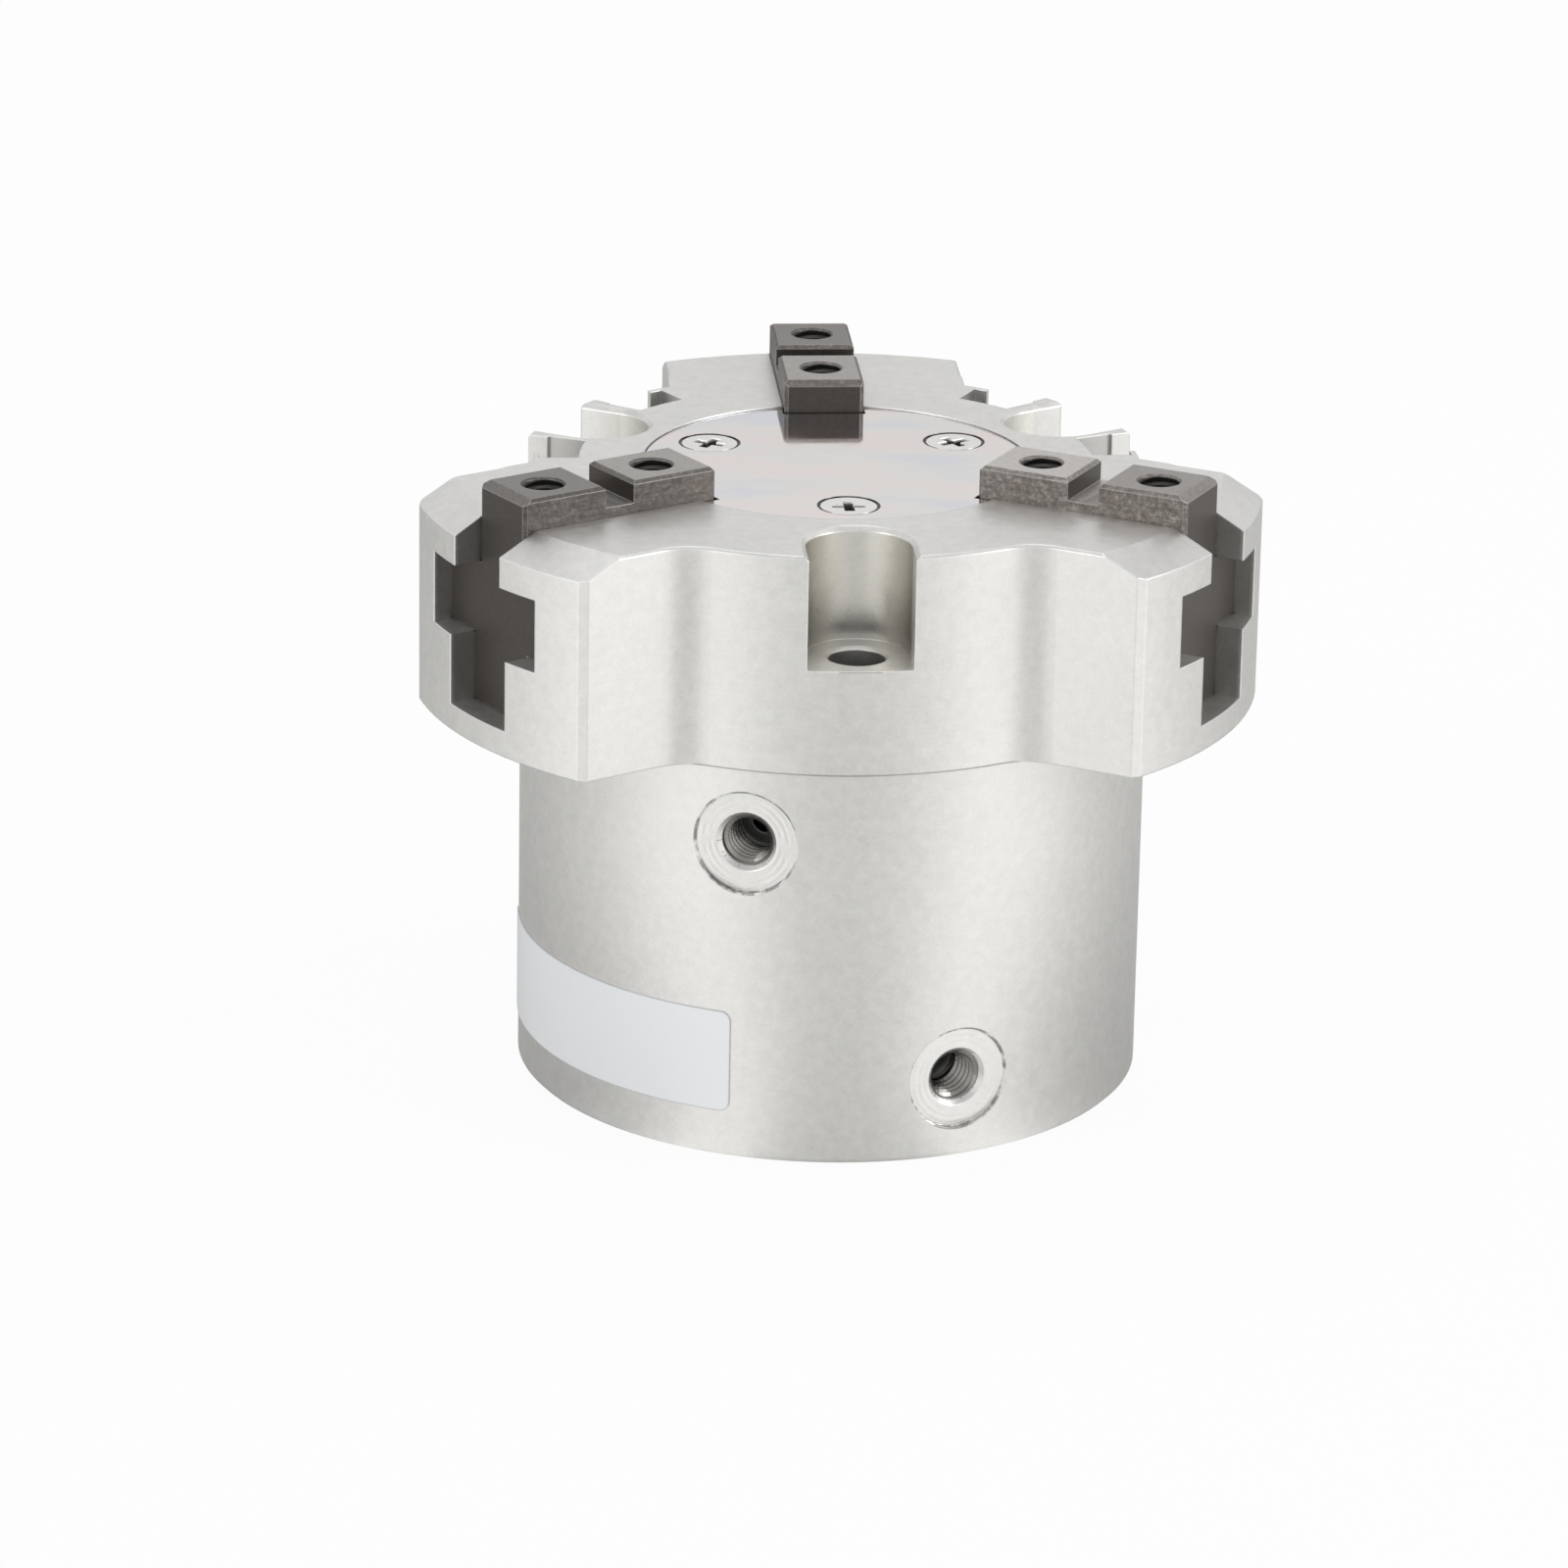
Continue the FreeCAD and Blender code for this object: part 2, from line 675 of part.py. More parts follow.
hook_play = size["hook_clearance"]
slot_bottom = cam_bottom - spare
slot_top = cam_top + spare
neck_inner = size["wedge_gap"] - size["hook_neck_reach"]
head_inner = size["wedge_gap"] - hook_length
sketch = new_sketch(wedge_cam, "cam_slot_neck_outline", "YZ_Plane")
draw_slanted(sketch, slot_bottom, slot_top, neck_inner, size["cam_arm_width"])
slot_neck_width = size["hook_neck_width"] + hook_play * 2
slot_neck = add_extrusion(wedge_cam, "Pocket", "cam_slot_neck", sketch, slot_neck_width, symmetric=True)
sketch = new_sketch(wedge_cam, "cam_slot_head_outline", "YZ_Plane")
draw_slanted(sketch, slot_bottom, slot_top, head_inner - hook_play, neck_inner + hook_play)
slot_head_width = size["hook_head_width"] + hook_play * 2
slot_head = add_extrusion(wedge_cam, "Pocket", "cam_slot_head", sketch, slot_head_width, symmetric=True)
add_pattern(wedge_cam, "cam_slots", [slot_neck, slot_head])

# Jaws: guided cross section with a sloping inner end and a hook that rides in the cam's slot
jaw_outer_end = size["jaw_inner_end"] + size["jaw_length"]
neck_half = half("neck_width")
wing_half = half("wing_width")
stem_half = half("stem_width")
edge = size["jaw_chamfer"]
notch = size["guide_relief"]
wing_low = wing_bottom + gap
wing_high = wing_top - gap
stem_low = guide_floor + gap
inner_thread = size["jaw_inner_end"] + size["inner_thread_offset"]
outer_thread = inner_thread + size["jaw_thread_spacing"]
key_middle = (inner_thread + outer_thread) / 2
key_inner = key_middle - half("key_width")
key_outer = key_middle + half("key_width")
key_floor = jaw_top - size["key_depth"]


def make_jaw(name, turn):
    jaw = new_body(name)
    sketch = new_sketch(jaw, name + "_section_outline", "XZ_Plane")
    draw_outline(sketch, mirrored([
        (stem_half - notch, stem_low),
        (stem_half, stem_low + notch),
        (stem_half, wing_low - notch),
        (stem_half - notch, wing_low),
        (wing_half - notch, wing_low),
        (wing_half, wing_low + notch),
        (wing_half, wing_high - notch),
        (wing_half - notch, wing_high),
        (neck_half - notch, wing_high),
        (neck_half, wing_high + notch),
        (neck_half, jaw_top - edge),
        (neck_half - edge, jaw_top),
    ]))
    add_extrusion(jaw, "Pad", name + "_section", sketch, jaw_outer_end, reverse=True)

    # Sloping face, neck end, key slot and edges, all seen from the side
    sketch = new_sketch(jaw, name + "_side_outline", "YZ_Plane")
    above = jaw_top + spare
    front_edge = size["jaw_front_chamfer"]
    draw_outline(sketch, [
        (-spare, guide_floor - spare),
        (wedge_radius(guide_floor - spare, size["wedge_gap"]), guide_floor - spare),
        (wedge_radius(wing_high, size["wedge_gap"]), wing_high),
        (size["jaw_inner_end"], wing_high),
        (size["jaw_inner_end"], jaw_top - front_edge),
        (size["jaw_inner_end"] + front_edge, jaw_top),
        (size["jaw_inner_end"] + front_edge, above),
        (-spare, above),
    ])
    draw_outline(sketch, [
        (key_inner, key_floor),
        (key_outer, key_floor),
        (key_outer, jaw_top - edge),
        (key_outer + edge, jaw_top),
        (key_outer + edge, above),
        (key_inner - edge, above),
        (key_inner - edge, jaw_top),
        (key_inner, jaw_top - edge),
    ])
    draw_outline(sketch, [
        (jaw_outer_end, jaw_top - size["jaw_end_drop"]),
        (jaw_outer_end + spare, jaw_top - size["jaw_end_drop"]),
        (jaw_outer_end + spare, above),
        (jaw_outer_end - size["jaw_end_chamfer"], above),
        (jaw_outer_end - size["jaw_end_chamfer"], jaw_top),
    ])
    add_extrusion(jaw, "Pocket", name + "_side", sketch, size["wing_width"] * 2, symmetric=True)

    # Upright edges at both ends of the neck
    sketch = new_sketch(jaw, name + "_corner_outline", "XY_Plane", shift=(0, 0, wing_high))
    for side in (-1, 1):
        for end, outward in ((jaw_outer_end, 1), (size["jaw_inner_end"], -1)):
            draw_outline(sketch, [
                ((neck_half - edge) * side, end),
                (neck_half * side, end - edge * outward),
                ((neck_half + spare) * side, end - edge * outward),
                ((neck_half + spare) * side, end + spare * outward),
                ((neck_half - edge) * side, end + spare * outward),
            ])
    add_extrusion(jaw, "Pocket", name + "_corner", sketch, size["wing_depth"] * 2, reverse=True)

    # The inner ends are mitred, so that the three jaws clear each other under the cover
    sketch = new_sketch(jaw, name + "_mitre_outline", "XY_Plane", shift=(0, 0, guide_floor - spare))
    reach = size["wing_width"]
    mitre = size["cam_gap"]
    draw_outline(sketch, [
        (-reach, (reach + mitre) / math.sqrt(3)),
        (-reach, -reach),
        (reach, -reach),
        (reach, (reach + mitre) / math.sqrt(3)),
        (ZERO, mitre / math.sqrt(3)),
    ])
    add_extrusion(jaw, "Pocket", name + "_mitre", sketch, size["head_height"] * 2, reverse=True)

    # Hook: a narrow neck out of the sloping face and a wider head behind it
    for part_name, outer, width in (
        ("_hook_neck", size["wedge_gap"] + hook_length, size["hook_neck_width"]),
        ("_hook_head", neck_inner, size["hook_head_width"]),
    ):
        sketch = new_sketch(jaw, name + part_name + "_outline", "YZ_Plane")
        draw_slanted(sketch, hook_bottom, hook_top, head_inner, outer)
        add_extrusion(jaw, "Pad", name + part_name, sketch, width, symmetric=True)

    for hole_name, radius in (("_inner_thread", inner_thread), ("_outer_thread", outer_thread)):
        sketch = new_sketch(jaw, name + hole_name + "_outline", "YZ_Plane", shift=(radius, 0, 0))
        thread = half("jaw_thread")
        draw_outline(sketch, [
            (ZERO, jaw_top - size["jaw_thread_depth"] - thread / 2),
            (thread, jaw_top - size["jaw_thread_depth"]),
            (thread, jaw_top - size["jaw_thread_chamfer"]),
            (thread + size["jaw_thread_chamfer"], jaw_top),
            (thread + size["jaw_thread_chamfer"], above),
            (ZERO, above),
        ])
        add_turning(jaw, "Groove", name + hole_name, sketch)
    jaw.Placement = FreeCAD.Placement(FreeCAD.Vector(), FreeCAD.Rotation(FreeCAD.Vector(0, 0, 1), turn))
    return jaw


jaws = [make_jaw(name, THIRD * index) for index, name in enumerate(("jaw_rear", "jaw_left", "jaw_right"))]

# Piston with grooves for its seal, magnet and bumpers
piston_radius = half("bore_diameter") - size["piston_clearance"]
shoulder = half("piston_shoulder")
land_bottom = (piston_bottom + piston_top) / 2 - half("piston_land_height")
land_top = land_bottom + size["piston_land_height"]
magnet_bottom = land_bottom + size["groove_inset"]
magnet_top = magnet_bottom + size["magnet_height"]
seal_top = land_top - size["groove_inset"]
seal_bottom = seal_top - size["seal_height"]
magnet_groove = piston_radius - size["magnet_width"]
seal_groove = piston_radius - size["seal_width"]
bumper_proud = size["bumper_stand"] - size["bumper_gap"]
bumper_depth = size["bumper_height"] - bumper_proud
bumper_inner = half("bumper_inner_diameter")
bumper_outer = half("bumper_outer_diameter")
head_bore = half("bolt_head_diameter") + size["bolt_clearance"]
shank_bore = bolt_shank + size["bolt_clearance"]
spigot_bore = rod_radius + size["seal_gap"]

piston = turned_body("piston", [
    (head_bore, piston_bottom),
    (bumper_inner, piston_bottom),
    (bumper_inner, piston_bottom + bumper_depth),
    (bumper_outer, piston_bottom + bumper_depth),
    (bumper_outer, piston_bottom),
    (shoulder, piston_bottom),
    (shoulder, land_bottom),
    (piston_radius, land_bottom),
    (piston_radius, magnet_bottom),
    (magnet_groove, magnet_bottom),
    (magnet_groove, magnet_top),
    (piston_radius, magnet_top),
    (piston_radius, seal_bottom),
    (seal_groove, seal_bottom),
    (seal_groove, seal_top),
    (piston_radius, seal_top),
    (piston_radius, land_top),
    (shoulder, land_top),
    (shoulder, piston_top),
    (bumper_outer, piston_top),
    (bumper_outer, piston_top - bumper_depth),
    (bumper_inner, piston_top - bumper_depth),
    (bumper_inner, piston_top),
    (spigot_bore, piston_top),
    (spigot_bore, rod_end),
    (shank_bore, rod_end),
    (shank_bore, bolt_seat),
    (head_bore, bolt_seat),
])


def make_ring(name, inner, outer, bottom, top):
    return turned_body(name, box_points(inner, outer, bottom, top))


slack = size["seal_gap"]
seal_outer = half("bore_diameter") - slack
piston_seal = make_ring("piston_seal", seal_groove + slack, seal_outer, seal_bottom + slack, seal_top - slack)
magnet_ring = make_ring(
    "magnet_ring", magnet_groove + slack, piston_radius - slack, magnet_bottom + slack, magnet_top - slack)
lower_bumper = make_ring(
    "lower_bumper", bumper_inner + slack, bumper_outer - slack,
    piston_bottom - bumper_proud, piston_bottom + bumper_depth)
upper_bumper = make_ring(
    "upper_bumper", bumper_inner + slack, bumper_outer - slack,
    piston_top - bumper_depth, piston_top + bumper_proud)
rod_seal = make_ring(
    "rod_seal", rod_radius + slack, rod_seal_radius - slack, rod_seal_bottom + slack, rod_seal_top - slack)
rod_bush = make_ring(
    "rod_bush", rod_radius + slack, rod_bush_radius - slack, rod_bush_bottom, cavity_floor - slack)

# Socket screw that holds the piston on the rod
bolt_bottom = bolt_seat - size["bolt_head_height"]
piston_bolt = turned_body("piston_bolt", [
    (ZERO, bolt_bottom),
    (half("bolt_head_diameter"), bolt_bottom),
    (half("bolt_head_diameter"), bolt_seat),
    (bolt_shank, bolt_seat),
    (bolt_shank, bolt_end),
    (ZERO, bolt_end),
])
sketch = new_sketch(piston_bolt, "bolt_socket_outline", "XY_Plane", shift=(0, 0, bolt_bottom))
socket_corner = size["bolt_socket_width"] / math.sqrt(3)
draw_outline(sketch, [
    (socket_corner, ZERO),
    (socket_corner / 2, half("bolt_socket_width")),
    (-(socket_corner / 2), half("bolt_socket_width")),
    (-socket_corner, ZERO),
    (-(socket_corner / 2), -half("bolt_socket_width")),
    (socket_corner / 2, -half("bolt_socket_width")),
])
add_extrusion(piston_bolt, "Pocket", "bolt_socket", sketch, size["bolt_socket_depth"], reverse=True)

# End cap, its seal and its retaining ring
cap_radius = seat_radius - size["cap_clearance"]
cap_section = size["cap_seal_section"]
cap_groove_radius = seat_radius - cap_section - size["cap_clearance"] * 2
cap_middle = (cap_bottom + cap_top) / 2
cap_groove_half = cap_section / 2 + size["cap_clearance"] * 2
end_cap = turned_body("end_cap", [
    (ZERO, cap_bottom + size["cap_recess_depth"]),
    (half("cap_recess_diameter"), cap_bottom + size["cap_recess_depth"]),
    (half("cap_recess_diameter"), cap_bottom),
    (cap_radius, cap_bottom),
    (cap_radius, cap_middle - cap_groove_half),
    (cap_groove_radius, cap_middle - cap_groove_half),
    (cap_groove_radius, cap_middle + cap_groove_half),
    (cap_radius, cap_middle + cap_groove_half),
    (cap_radius, cap_top),
    (ZERO, cap_top),
])

end_cap_seal = doc.addObject("Part::Torus", "end_cap_seal")
end_cap_seal.Label = "end_cap_seal"
bind(end_cap_seal, "Radius1", seat_radius - size["cap_clearance"] - cap_section / 2)
bind(end_cap_seal, "Radius2", cap_section / 2)
bind(end_cap_seal, "Placement.Base.z", cap_middle)

ring_outer = ring_groove_radius - size["ring_gap"] * 4
ring_inner = ring_outer - size["ring_width"]
ring_bottom = size["ring_inset"] + size["ring_gap"]
ring_top = ring_bottom + size["ring_thickness"]
retaining_ring = new_body("retaining_ring")
sketch = new_sketch(retaining_ring, "ring_outline", "XZ_Plane")
draw_outline(sketch, box_points(ring_inner, ring_outer, ring_bottom, ring_top))
ring_sweep = Size.of(FULL_TURN) - size["ring_mouth_angle"]
add_turning(retaining_ring, "Revolution", "ring_turning", sketch, angle=ring_sweep)
lug_inner = ring_inner - size["ring_lug_length"]
for name, side, angle in (("first_lug", 1, Size.of(0)), ("second_lug", -1, -size["ring_mouth_angle"])):
    sketch = new_sketch(
        retaining_ring, name + "_outline", "XY_Plane", (0, 0, ring_bottom), (FreeCAD.Vector(0, 0, 1), angle))
    draw_outline(sketch, [
        (lug_inner, ZERO),
        (ring_inner + size["ring_width"] / 2, ZERO),
        (ring_inner + size["ring_width"] / 2, size["ring_lug_width"] * side),
        (lug_inner, size["ring_lug_width"] * side),
    ])
    draw_circle(sketch, lug_inner + size["ring_lug_width"] / 2, size["ring_lug_width"] / 2 * side,
                half("ring_lug_hole"))
    add_extrusion(retaining_ring, "Pad", name, sketch, size["ring_thickness"])

# Cover plate, notched for the jaws and countersunk for its screws
play = size["screw_clearance"]
head_gap = size["cover_screw_gap"]
screw_head = half("cover_screw_head")
screw_land = size["cover_screw_land"]
cover_plate = turned_body("cover_plate", [
    (ZERO, cover_seat),
    (half("cover_seat_diameter") - size["cover_clearance"], cover_seat),
    (half("cover_seat_diameter") - size["cover_clearance"], cover_top),
    (ZERO, cover_top),
])
sketch = new_sketch(cover_plate, "cover_notch_outline", "XY_Plane", shift=(0, 0, cover_seat - spare))
notch_half = neck_slot + size["cover_clearance"]
draw_outline(sketch, box_points(
    -notch_half, notch_half, size["cover_notch_radius"], size["cover_seat_diameter"]))
cover_notch = add_extrusion(
    cover_plate, "Pocket", "cover_notch", sketch, size["cover_thickness"] + spare * 2, reverse=True)
countersink = screw_head + play
countersink_bottom = countersink - (size["cover_thickness"] - screw_land - play)
sketch = new_sketch(cover_plate, "countersink_outline", "YZ_Plane", shift=(-screw_circle_radius, 0, 0))
draw_outline(sketch, [
    (ZERO, cover_seat),
    (countersink_bottom, cover_seat),
    (countersink, cover_top - screw_land - play),
    (screw_head + head_gap, cover_top - screw_land - play),
    (screw_head + head_gap, cover_top),
    (ZERO, cover_top),
])
countersink_cut = add_turning(cover_plate, "Groove", "countersink", sketch)
add_pattern(cover_plate, "cover_cuts", [cover_notch, countersink_cut])


def make_cover_screw(name, turn):
    screw_top = cover_top - play
    shank = half("cover_screw_thread")
    bar = half("cover_screw_recess_bar")
    arm = half("cover_screw_recess_width")
    cone_bottom = screw_top - screw_land - (screw_head - shank)
    end = screw_top - size["cover_screw_length"]
    tip = size["cover_screw_tip"]
    screw = turned_body(name, [
        (ZERO, end),
        (shank - tip, end),
        (shank, end + tip),
        (shank, cone_bottom),
        (screw_head, screw_top - screw_land),
        (screw_head, screw_top),
        (ZERO, screw_top),
    ])
    sketch = new_sketch(screw, name + "_recess_outline", "XY_Plane", shift=(0, 0, screw_top))
    draw_outline(sketch, mirrored([
        (bar, -arm),
        (bar, -bar),
        (arm, -bar),
        (arm, bar),
        (bar, bar),
        (bar, arm),
    ]))
    recess = add_extrusion(screw, "Pocket", name + "_recess", sketch, size["cover_screw_recess_depth"])
    recess.TaperAngle = -size["cover_screw_recess_taper"].value
    bind(recess, "TaperAngle", -size["cover_screw_recess_taper"])
    turned = FreeCAD.Rotation(FreeCAD.Vector(0, 0, 1), turn)
    screw.Placement = FreeCAD.Placement(FreeCAD.Vector(), turned)
    bind(screw, "Placement.Base.x", screw_circle_radius * math.cos(math.radians(turn)))
    bind(screw, "Placement.Base.y", screw_circle_radius * math.sin(math.radians(turn)))
    return screw


cover_screws = [
    make_cover_screw(name, THIRD * index - 90)
    for index, name in enumerate(("cover_screw_front", "cover_screw_right", "cover_screw_left"))
]

# Blank name label on the left of the ports
label_inner = shell_radius + size["label_gap"]
label_outer = label_inner + size["label_thickness"]
name_label = new_body("name_label")
sketch = new_sketch(
    name_label, "label_outline", "XZ_Plane",
    turn=(AXIAL, -(size["label_start_angle"] + size["label_span_angle"])),
)
draw_outline(sketch, box_points(
    label_inner, label_outer, size["label_bottom"], size["label_bottom"] + size["label_height"]))
label_sheet = add_turning(name_label, "Revolution", "label_sheet", sketch, angle=size["label_span_angle"])
doc.recompute()
corners = [
    "Edge%d" % number
    for number, side in enumerate(label_sheet.Shape.Edges, start=1)
    if abs(side.Length - size["label_thickness"].value) < 1e-6
]
label_corners = name_label.newObject("PartDesign::Fillet", "label_corners")
label_corners.Base = (label_sheet, corners)
label_corners.Radius = size["label_corner"].value
bind(label_corners, "Radius", size["label_corner"])

doc.recompute()
PIECES = [
    housing, wedge_cam, *jaws, piston, piston_seal, magnet_ring, lower_bumper, upper_bumper, piston_bolt,
    rod_seal, rod_bush, end_cap, end_cap_seal, retaining_ring, cover_plate, *cover_screws, name_label,
]
for thing in doc.Objects:
    if "Invalid" in thing.State or "Error" in thing.State:
        raise RuntimeError("failed: " + thing.Name)
for piece in PIECES:
    shape = piece.Shape
    if shape.isNull() or not shape.isValid() or len(shape.Solids) != 1:
        raise RuntimeError("bad shape: " + piece.Label)
    print("%-20s %10.1f mm3" % (piece.Label, shape.Volume))
for piece in PIECES:
    piece.Shape.exportStep(os.path.join("parts", piece.Label + ".step"))
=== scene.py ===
import json
import math

import bpy
from mathutils import Matrix, Vector


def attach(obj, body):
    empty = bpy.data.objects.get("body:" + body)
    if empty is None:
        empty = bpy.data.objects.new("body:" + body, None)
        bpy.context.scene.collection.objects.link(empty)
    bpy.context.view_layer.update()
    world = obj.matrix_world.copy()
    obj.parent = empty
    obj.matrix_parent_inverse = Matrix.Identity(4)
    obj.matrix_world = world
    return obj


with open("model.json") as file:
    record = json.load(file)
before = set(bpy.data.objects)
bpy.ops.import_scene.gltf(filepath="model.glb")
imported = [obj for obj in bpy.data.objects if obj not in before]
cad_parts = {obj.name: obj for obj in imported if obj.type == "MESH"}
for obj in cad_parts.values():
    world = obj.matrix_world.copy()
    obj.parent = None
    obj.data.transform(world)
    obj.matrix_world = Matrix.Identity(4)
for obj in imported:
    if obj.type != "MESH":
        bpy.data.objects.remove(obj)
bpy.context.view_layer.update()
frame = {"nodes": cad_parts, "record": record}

# Three-jaw pneumatic gripper: finishes, screw threads, studio light and camera. Metres, +Z up.

MM = 0.001
UP = Vector((0.0, 0.0, 1.0))
JAW_AZIMUTHS = {"jaw_rear": 90.0, "jaw_left": 210.0, "jaw_right": 330.0}
PORTS = {"upper_port": (-110.0, 32.5), "lower_port": (-70.0, 8.1)}
LOBE_AZIMUTHS = (-90.0, 30.0, 150.0)
BOLT_RADIUS = 26.5 * MM
POCKET_FLOOR = 50.5 * MM
SCREW_RADIUS = 14.0 * MM
COVER_TOP = 61.6 * MM
GUIDE_HALF = 9.3 * MM
HEAD_BOTTOM = 40.0 * MM
JAW_TOP = 64.93 * MM
JAW_HOLES = {"inner": 21.83 * MM, "outer": 34.18 * MM}
JAW_THREAD = 2.0 * MM
PORT_THREAD = 2.5 * MM
PORT_FLOOR = 30.4 * MM


def outward(azimuth):
    """Unit vector away from the gripper's axis."""
    turn = math.radians(azimuth)
    return Vector((math.cos(turn), math.sin(turn), 0.0))


# Node trees

class Link:
    """One output of a node tree. Arithmetic on it adds Math nodes."""

    def __init__(self, tree, socket):
        self.tree = tree
        self.socket = socket

    def math(self, operation, first, second=0.0, clamp=False):
        settings = {"operation": operation, "use_clamp": clamp}
        return self.tree.add("ShaderNodeMath", settings, {0: first, 1: second})

    def __add__(self, other):
        return self.math("ADD", self, other)

    def __sub__(self, other):
        return self.math("SUBTRACT", self, other)

    def __rsub__(self, other):
        return self.math("SUBTRACT", other, self)

    def __mul__(self, other):
        return self.math("MULTIPLY", self, other)

    def __truediv__(self, other):
        return self.math("DIVIDE", self, other)

    def __pow__(self, other):
        return self.math("POWER", self, other)

    __radd__ = __add__
    __rmul__ = __mul__

    def clamped(self):
        return self.math("ADD", self, 0.0, clamp=True)

    def magnitude(self):
        return self.math("ABSOLUTE", self)

    def root(self):
        return self.math("SQRT", self)

    def sine(self):
        return self.math("SINE", self)

    def cosine(self):
        return self.math("COSINE", self)

    def band(self, low, high):
        """0 below low and 1 above high, with a smooth step between."""
        return self.tree.add("ShaderNodeMapRange", {"interpolation_type": "SMOOTHSTEP"},
                             {"Value": self, "From Min": low, "From Max": high})


class Tree:
    """Node tree of a material or of the world."""

    def __init__(self, owner):
        owner.use_nodes = True
        self.nodes = owner.node_tree.nodes
        self.links = owner.node_tree.links
        self.nodes.clear()

    def add(self, kind, settings=None, inputs=None, output=0):
        """New node with its settings first, then the values or links of its sockets."""
        node = self.nodes.new(kind)
        for name, value in (settings or {}).items():
            if name == "stops":
                self.set_stops(node.color_ramp, value)
            else:
                setattr(node, name, value)
        for name, value in (inputs or {}).items():
            if isinstance(value, Link):
                self.links.new(value.socket, node.inputs[name])
            else:
                node.inputs[name].default_value = value
        return Link(self, node.outputs[output]) if len(node.outputs) else node

    @staticmethod
    def set_stops(ramp, stops):
        while len(ramp.elements) < len(stops):
            ramp.elements.new(1.0)
        for element, (place, colour) in zip(ramp.elements, stops):
            element.position = place
            element.color = (*colour, 1.0)

    def place(self):
        return self.add("ShaderNodeTexCoord", output="Object")

    def stretched(self, place, scale):
        return self.add("ShaderNodeVectorMath", {"operation": "MULTIPLY"}, {0: place, 1: scale})

    def split(self, vector):
        return [self.add("ShaderNodeSeparateXYZ", inputs={0: vector}, output=axis) for axis in range(3)]

    def noise(self, place, scale, detail=2.0, roughness=0.5):
        inputs = {"Vector": place, "Scale": scale, "Detail": detail, "Roughness": roughness}
        return self.add("ShaderNodeTexNoise", {"noise_dimensions": "3D"}, inputs)

    def mix(self, share, first, second):
        inputs = {"Factor": share, 6: first, 7: second}
        return self.add("ShaderNodeMix", {"data_type": "RGBA"}, inputs, output=2)

    def bored(self, place, centre, axis, radius):
        """1 inside a round hole about an axis through the centre, 0 outside it."""
        arm = self.add("ShaderNodeVectorMath", {"operation": "SUBTRACT"}, {0: place, 1: centre})
        across = self.add("ShaderNodeVectorMath", {"operation": "CROSS_PRODUCT"}, {0: arm, 1: axis})
        reach = self.add("ShaderNodeVectorMath", {"operation": "LENGTH"}, {0: across}, output="Value")
        return 1.0 - reach.band(radius - 0.05 * MM, radius + 0.05 * MM)

    def edges(self, radius):
        """Rounded normal near edges, and a mask that is 1 on the edge itself."""
        rounded = self.add("ShaderNodeBevel", {"samples": 6}, {"Radius": radius})
        flat = self.add("ShaderNodeNewGeometry", output="Normal")
        settings = {"operation": "DOT_PRODUCT"}
        likeness = self.add("ShaderNodeVectorMath", settings, {0: rounded, 1: flat}, output="Value")
        return rounded, (1.0 - likeness).band(0.002, 0.12)

    def bump(self, height, depth, strength=1.0, normal=None):
        inputs = {"Height": height, "Distance": depth, "Strength": strength}
        if normal is not None:
            inputs["Normal"] = normal
        return self.add("ShaderNodeBump", None, inputs)

    def finish(self, **sockets):
        shader = self.add("ShaderNodeBsdfPrincipled", None, {
            name.replace("_", " "): value for name, value in sockets.items()
        })
        self.add("ShaderNodeOutputMaterial", None, {"Surface": shader})


def grey(level, warm=0.0):
    """Neutral colour, or a slightly warm one."""
    return (level * (1.0 + warm), level, level * (1.0 - warm), 1.0)


def new_finish(name):
    material = bpy.data.materials.new(name)
    return material, Tree(material)


